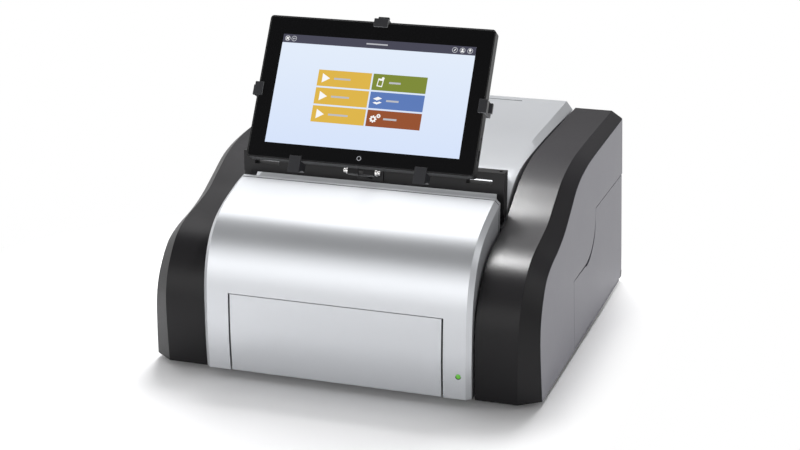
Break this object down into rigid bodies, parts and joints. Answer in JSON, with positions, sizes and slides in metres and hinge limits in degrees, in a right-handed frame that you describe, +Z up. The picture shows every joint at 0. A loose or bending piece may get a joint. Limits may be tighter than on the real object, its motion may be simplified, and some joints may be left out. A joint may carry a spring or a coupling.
{
  "type": "microplate reader",
  "caption": "Bench microplate reader: drop-down front door with sliding plate tray, bulging hood, curved side arches, lifting rear lid, side door and a tilting tablet on a yoke.",
  "frame": {"origin": "middle of the footprint at bench level, under the feet", "axes": "+X to the user's right, +Y from the front to the back, +Z up"},
  "size_m": [0.4694, 0.4949, 0.4002],
  "materials": {
    "dark_moulding": "satin dark moulding",
    "panel_grey": "smooth violet-grey",
    "cover_silver": "silver-grey satin paint",
    "chassis_sheet": "brushed sheet",
    "black_sheet": "matt black",
    "pan_grey": "textured grey paint",
    "foot_rubber": "matt",
    "steel_rod": "polished",
    "rear_sheet": "textured grey paint",
    "black_plastic": "fine texture",
    "rocker_black": "gloss",
    "port_metal": "bright",
    "lamp_green": "lit green lens",
    "rack_white": "smooth white",
    "bay_grey": "smooth",
    "yoke_black": "satin black",
    "clip_grey": "fine texture",
    "tablet_shell": "soft black",
    "tablet_front": "black glass over the display",
    "tray_metal": "bead-blasted",
    "sled_metal": "anodised",
    "block_metal": "machined",
    "motor_dark": "black enamel",
    "chamber_black": "light-tight matt black",
    "optics_metal": "machined",
    "board_green": "coated board",
    "supply_case": "plain sheet"
  },
  "bodies": {
    "housing": {"base_tray": "pan_grey", "feet": "foot_rubber", "chassis_left": "chassis_sheet", "chassis_right": "chassis_sheet", "bridge": "black_sheet", "optics_deck": "chassis_sheet", "arch_left": "dark_moulding", "arch_right": "dark_moulding", "side_panel_left": "panel_grey", "side_panel_right": "panel_grey", "side_door_pins": "steel_rod", "side_bay": "bay_grey", "bottle_rack": "rack_white", "hood": "cover_silver", "door_pins": "steel_rod", "door_brackets": "chassis_sheet", "status_lens": "lamp_green", "drawer_bezel": "black_sheet", "lid_pins": "steel_rod", "lid_brackets": "chassis_sheet", "rear_panel": "rear_sheet", "power_inlet": "black_plastic", "port_block": "port_metal", "cooling_fan": "black_plastic", "yoke": "yoke_black", "yoke_screws": "steel_rod", "hinge_arm": "yoke_black", "guide_rods": "steel_rod", "rod_blocks": "block_metal", "drive_motor": "motor_dark", "read_chamber": "chamber_black", "detector_module": "optics_metal", "filter_motor": "motor_dark", "lamp_module": "optics_metal", "main_board": "board_green", "power_supply": "supply_case"},
    "plate_door": {"plate_door": "cover_silver"},
    "carrier": {"plate_tray": "tray_metal", "tray_sled": "sled_metal"},
    "clamp_lever": {"plate_clamp": "steel_rod"},
    "screw": {"lead_screw": "steel_rod"},
    "lid": {"rear_lid": "cover_silver"},
    "side_door": {"side_door": "panel_grey"},
    "rocker": {"switch_rocker": "rocker_black"},
    "rotor": {"fan_rotor": "black_plastic"},
    "wheel": {"filter_wheel": "sled_metal"},
    "cradle": {"cradle_plate": "yoke_black", "clips_lower": "clip_grey", "tablet_body": "tablet_shell", "tablet_glass": "tablet_front", "hinge_axle": "steel_rod"},
    "top_clip": {"clip_top": "clip_grey"},
    "left_clip": {"clip_left": "clip_grey"},
    "right_clip": {"clip_right": "clip_grey"},
    "power_button": {"power_key": "tablet_shell"},
    "volume_button": {"volume_key": "tablet_shell"}
  },
  "joints": [
    {"name": "tray_slide", "type": "slide", "parent": "housing", "child": "carrier", "axis": [0, -1, 0], "range_m": [0, 0.2]},
    {"name": "door_hinge", "type": "hinge", "parent": "housing", "child": "plate_door", "pos_m": [0, -0.2365, 0.015], "axis": [1, 0, 0], "range_deg": [0, 90]},
    {"name": "screw_spin", "type": "hinge", "parent": "housing", "child": "screw", "pos_m": [0, -0.0475, 0.031], "axis": [0, 1, 0], "range_deg": [0, 3600]},
    {"name": "clamp_swing", "type": "hinge", "parent": "carrier", "child": "clamp_lever", "pos_m": [0.06838, -0.05502, 0.057], "axis": [0, 0, -1], "range_deg": [0, 35], "stiffness_Nm_per_rad": 0.005},
    {"name": "lid_hinge", "type": "hinge", "parent": "housing", "child": "lid", "pos_m": [0, -0.0865, 0.189], "axis": [1, 0, 0], "range_deg": [0, 45]},
    {"name": "side_door_hinge", "type": "hinge", "parent": "housing", "child": "side_door", "pos_m": [0.231, 0.2435, -0.00017], "axis": [-0.042, 0, 0.9991], "range_deg": [0, 110]},
    {"name": "tablet_tilt", "type": "hinge", "parent": "housing", "child": "cradle", "pos_m": [0, -0.1495, 0.234], "axis": [1, 0, 0], "range_deg": [-16, 29]},
    {"name": "top_clip_slide", "type": "slide", "parent": "cradle", "child": "top_clip", "axis": [0, 0.4894, 0.8721], "range_m": [0, 0.012], "stiffness_N_per_m": 150},
    {"name": "left_clip_slide", "type": "slide", "parent": "cradle", "child": "left_clip", "axis": [-1, 0, 0], "range_m": [0, 0.012], "stiffness_N_per_m": 150},
    {"name": "right_clip_slide", "type": "slide", "parent": "cradle", "child": "right_clip", "axis": [1, 0, 0], "range_m": [0, 0.012], "stiffness_N_per_m": 150},
    {"name": "power_press", "type": "slide", "parent": "cradle", "child": "power_button", "axis": [0, -0.4894, -0.8721], "range_m": [0, 0.0005], "stiffness_N_per_m": 200},
    {"name": "volume_press", "type": "slide", "parent": "cradle", "child": "volume_button", "axis": [0, -0.4894, -0.8721], "range_m": [0, 0.0005], "stiffness_N_per_m": 200},
    {"name": "switch_rock", "type": "hinge", "parent": "housing", "child": "rocker", "pos_m": [0.128, 0.2425, 0.082], "axis": [1, 0, 0], "range_deg": [-12, 12]},
    {"name": "fan_spin", "type": "hinge", "parent": "housing", "child": "rotor", "pos_m": [-0.116, 0.2325, 0.092], "axis": [0, 1, 0], "continuous": true},
    {"name": "wheel_spin", "type": "hinge", "parent": "housing", "child": "wheel", "pos_m": [0.078, -0.09176, 0.13], "axis": [0, 0, 1], "continuous": true}
  ],
  "couplings": [
    {"joint": "door_hinge", "follows": "tray_slide", "rad_per_m": 7.854},
    {"joint": "screw_spin", "follows": "tray_slide", "rad_per_m": 314.16}
  ]
}
